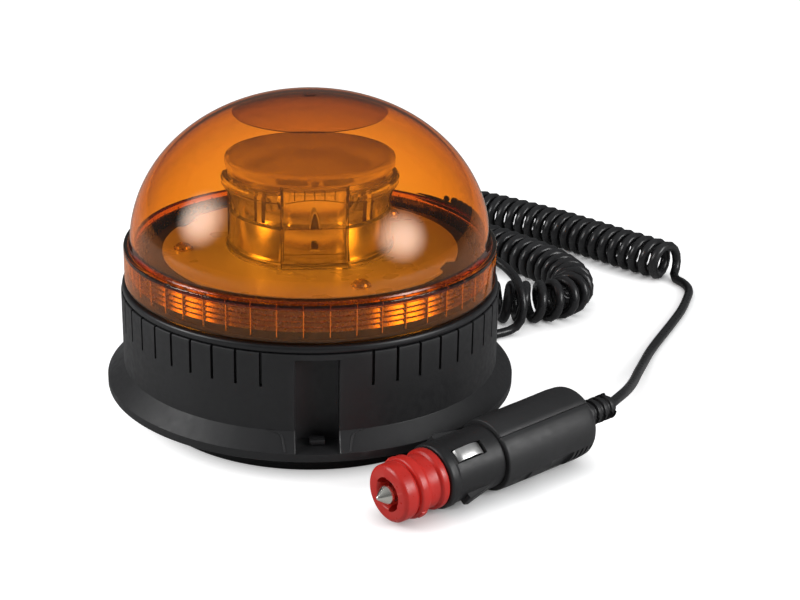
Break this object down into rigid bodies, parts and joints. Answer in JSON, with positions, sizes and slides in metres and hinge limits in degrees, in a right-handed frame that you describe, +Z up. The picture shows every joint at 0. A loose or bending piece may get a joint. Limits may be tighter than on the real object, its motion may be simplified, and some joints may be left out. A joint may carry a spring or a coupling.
{
  "type": "led warning beacon",
  "caption": "Amber domed LED warning beacon on a round black magnetic base, with a curly supply cord that ends in a universal vehicle plug.",
  "frame": {"origin": "on the beacon's vertical axis at the underside of its rubber foot", "axes": "+Z up along the axis of the dome; the plug lies toward -Y and +X, the curly cord toward +X and +Y"},
  "size_m": [0.2433, 0.3164, 0.1176],
  "materials": {
    "adapter_sleeve": "satin red",
    "base_housing": "fine eroded texture",
    "base_lead": "satin jacket",
    "base_plate": "moulded",
    "capacitor_1": "bare can",
    "capacitor_2": "bare can",
    "centre_bolt": "zinc plated",
    "centre_nut": "zinc plated",
    "choke": "enamelled copper winding",
    "cord_boot": "ribbed",
    "cord_gland": "matte",
    "curly_coil": "satin jacket",
    "dome_lens": "clear amber polycarbonate",
    "driver_board": "solder mask",
    "fuse": "glass tube",
    "handle_lower": "fine texture",
    "handle_upper": "fine texture",
    "led_board_1": "white solder mask on metal core",
    "led_board_2": "white solder mask on metal core",
    "led_board_3": "white solder mask on metal core",
    "led_board_4": "white solder mask on metal core",
    "led_board_5": "white solder mask on metal core",
    "led_board_6": "white solder mask on metal core",
    "led_core": "extruded",
    "lens_gasket": "smooth",
    "magnet_yoke": "zinc plated",
    "plate_screw_1": "passivated steel",
    "plate_screw_2": "passivated steel",
    "plate_screw_3": "passivated steel",
    "plug_lead": "satin jacket",
    "plug_nose": "fine texture",
    "reflector_plate": "silvered white",
    "ring_magnet": "bare ferrite",
    "rubber_boot": "matte moulded rubber",
    "side_contact_front": "nickel plated spring brass",
    "side_contact_rear": "nickel plated spring brass",
    "terminal_block": "moulded",
    "tip_contact": "nickel plated",
    "tip_spring": "spring steel",
    "tower_cap": "clear polycarbonate",
    "tower_optic": "clear polycarbonate"
  },
  "bodies": {
    "root": {"base_housing": "base_housing", "base_lead": "base_lead", "base_plate": "base_plate", "capacitor_1": "capacitor_1", "capacitor_2": "capacitor_2", "centre_bolt": "centre_bolt", "centre_nut": "centre_nut", "choke": "choke", "cord_boot": "cord_boot", "cord_gland": "cord_gland", "curly_coil": "curly_coil", "dome_lens": "dome_lens", "driver_board": "driver_board", "fuse": "fuse", "handle_lower": "handle_lower", "handle_upper": "handle_upper", "led_board_1": "led_board_1", "led_board_2": "led_board_2", "led_board_3": "led_board_3", "led_board_4": "led_board_4", "led_board_5": "led_board_5", "led_board_6": "led_board_6", "led_core": "led_core", "lens_gasket": "lens_gasket", "magnet_yoke": "magnet_yoke", "plate_screw_1": "plate_screw_1", "plate_screw_2": "plate_screw_2", "plate_screw_3": "plate_screw_3", "plug_lead": "plug_lead", "plug_nose": "plug_nose", "reflector_plate": "reflector_plate", "ring_magnet": "ring_magnet", "rubber_boot": "rubber_boot", "terminal_block": "terminal_block", "tip_spring": "tip_spring", "tower_cap": "tower_cap", "tower_optic": "tower_optic"},
    "tip": {"tip_contact": "tip_contact"},
    "contact_front": {"side_contact_front": "side_contact_front"},
    "contact_rear": {"side_contact_rear": "side_contact_rear"},
    "adapter": {"adapter_sleeve": "adapter_sleeve"}
  },
  "joints": [
    {"name": "tip_press", "type": "slide", "parent": "root", "child": "tip", "axis": [0.7952, 0.6058, 0.027], "range_m": [0, 0.003], "stiffness_N_per_m": 1200, "springref_m": -0.002},
    {"name": "contact_front_press", "type": "slide", "parent": "root", "child": "contact_front", "axis": [-0.3561, 0.5027, -0.7877], "range_m": [0, 0.0012], "stiffness_N_per_m": 2500, "springref_m": -0.0005},
    {"name": "contact_rear_press", "type": "slide", "parent": "root", "child": "contact_rear", "axis": [0.3561, -0.5027, 0.7877], "range_m": [0, 0.0012], "stiffness_N_per_m": 2500, "springref_m": -0.0005},
    {"name": "adapter_twist", "type": "hinge", "parent": "root", "child": "adapter", "pos_m": [0.0256, -0.0974, 0.0115], "axis": [-0.7952, -0.6058, -0.027], "range_deg": [0, 35]}
  ]
}
